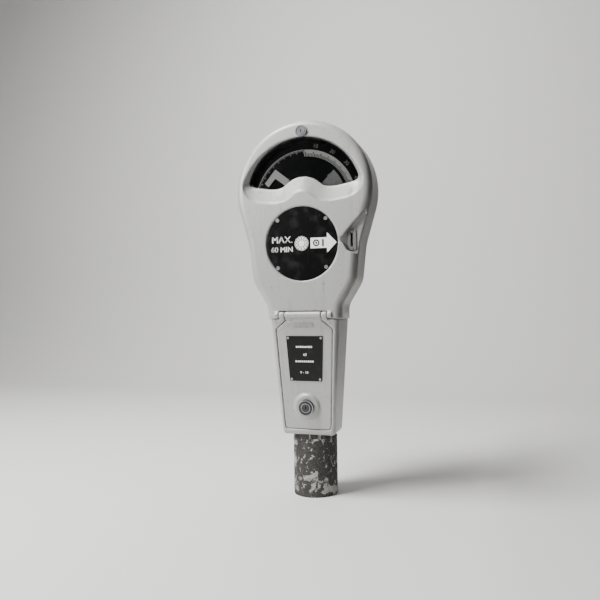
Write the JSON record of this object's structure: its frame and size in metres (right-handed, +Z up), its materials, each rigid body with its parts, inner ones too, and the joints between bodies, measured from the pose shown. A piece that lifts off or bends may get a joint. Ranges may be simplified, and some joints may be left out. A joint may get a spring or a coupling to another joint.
{
  "type": "parking meter",
  "caption": "Coin-operated parking meter head on a tube stub: domed window cover, sloping cash door with lock, clockwork dial and coin scoop.",
  "frame": {"origin": "centre of the post stub's lower end", "axes": "+Z up along the post, the window and the cash door face -Y, +X to the right seen from the front"},
  "size_m": [0.186, 0.099, 0.505],
  "materials": {
    "cast_paint": "satin",
    "post_steel": "worn",
    "bright_screws": "satin",
    "hinge_steel": "satin",
    "clear_glass": "clear",
    "ring_metal": "satin",
    "mechanism_brass": "satin",
    "mechanism_steel": "satin",
    "dial_black": "satin",
    "mark_white": "matte",
    "flag_grey": "matte",
    "chute_metal": "satin",
    "slot_steel": "satin",
    "lock_steel": "worn",
    "cam_steel": "satin"
  },
  "bodies": {
    "housing": {"post_stub": "post_steel", "lower_housing": "cast_paint", "post_set_screws": "bright_screws", "hinge_pin": "hinge_steel", "shell_screws": "bright_screws", "rear_shell": "cast_paint", "rear_glass": "clear_glass", "rear_glass_ring": "ring_metal", "rear_ring_screws": "bright_screws", "movement_front_plate": "mechanism_brass", "movement_back_plate": "mechanism_brass", "movement_pillars": "mechanism_steel", "movement_screws": "bright_screws", "dial_plate": "dial_black", "dial_scale": "mark_white", "dial_posts": "mechanism_steel", "dial_screws": "bright_screws", "coin_chute": "chute_metal"},
    "cover": {"front_cover": "cast_paint", "front_glass": "clear_glass", "glass_retainer": "hinge_steel", "retainer_screws": "bright_screws", "instruction_disc": "dial_black", "disc_screws": "bright_screws", "centre_badge": "mark_white", "direction_arrow": "mark_white", "coin_slot_plate": "slot_steel", "slot_plate_screws": "bright_screws", "cover_lock_barrel": "lock_steel", "cover_lock_nut": "hinge_steel"},
    "cover_lock": {"cover_lock_plug": "lock_steel", "cover_lock_cam": "cam_steel"},
    "door": {"cash_door": "cast_paint", "info_plate": "dial_black", "info_plate_rivets": "bright_screws", "number_plate": "slot_steel", "number_plate_rivets": "bright_screws", "door_lock_barrel": "lock_steel", "door_lock_nut": "hinge_steel"},
    "door_lock": {"door_lock_plug": "lock_steel", "door_lock_cam": "cam_steel"},
    "cash_tray": {"cash_box": "chute_metal", "cash_box_lid": "chute_metal", "cash_box_handle": "hinge_steel"},
    "pointer_group": {"pointer": "mark_white", "pointer_arbor": "mechanism_brass"},
    "intermediate": {"intermediate_wheel": "mechanism_brass"},
    "escapement": {"escape_wheel": "mechanism_brass"},
    "balance": {"balance_wheel": "mechanism_brass"},
    "flag": {"overtime_flag": "flag_grey"}
  },
  "joints": [
    {"name": "cover_swing", "type": "hinge", "parent": "housing", "child": "cover", "pos_m": [0, -0.051, 0.2464], "axis": [1, 0, 0], "range_deg": [0, 75]},
    {"name": "cover_lock_turn", "type": "hinge", "parent": "cover", "child": "cover_lock", "pos_m": [0, -0.045, 0.4886], "axis": [0, -1, 0], "range_deg": [0, 90]},
    {"name": "door_swing", "type": "hinge", "parent": "housing", "child": "door", "pos_m": [0, -0.051, 0.2464], "axis": [-1, 0, 0], "range_deg": [0, 75]},
    {"name": "door_lock_turn", "type": "hinge", "parent": "door", "child": "door_lock", "pos_m": [0, -0.0373, 0.12376], "axis": [0, 0.9954, 0.0955], "range_deg": [0, 90]},
    {"name": "cash_box_slide", "type": "slide", "parent": "housing", "child": "cash_tray", "axis": [0, -1, 0], "range_m": [0, 0.0655]},
    {"name": "pointer_turn", "type": "hinge", "parent": "housing", "child": "pointer_group", "pos_m": [0, -0.0368, 0.397], "axis": [0, 1, 0], "range_deg": [0, 160]},
    {"name": "intermediate_turn", "type": "hinge", "parent": "housing", "child": "intermediate", "pos_m": [-0.02642, -0.01, 0.3785], "axis": [0, 1, 0], "range_deg": [-485, 0]},
    {"name": "escape_turn", "type": "hinge", "parent": "housing", "child": "escapement", "pos_m": [-0.01434, -0.005, 0.3486], "axis": [0, 1, 0], "range_deg": [0, 1445]},
    {"name": "balance_swing", "type": "hinge", "parent": "housing", "child": "balance", "pos_m": [0.02, -0.001, 0.372], "axis": [0, 1, 0], "range_deg": [-120, 120]},
    {"name": "flag_swing", "type": "hinge", "parent": "housing", "child": "flag", "pos_m": [0, -0.0355, 0.397], "axis": [0, 1, 0], "range_deg": [-40, 0]}
  ],
  "couplings": [
    {"joint": "cash_box_slide", "follows": "door_swing", "m_per_rad": 0.05},
    {"joint": "intermediate_turn", "follows": "pointer_turn", "ratio": -3},
    {"joint": "escape_turn", "follows": "pointer_turn", "ratio": 9}
  ]
}
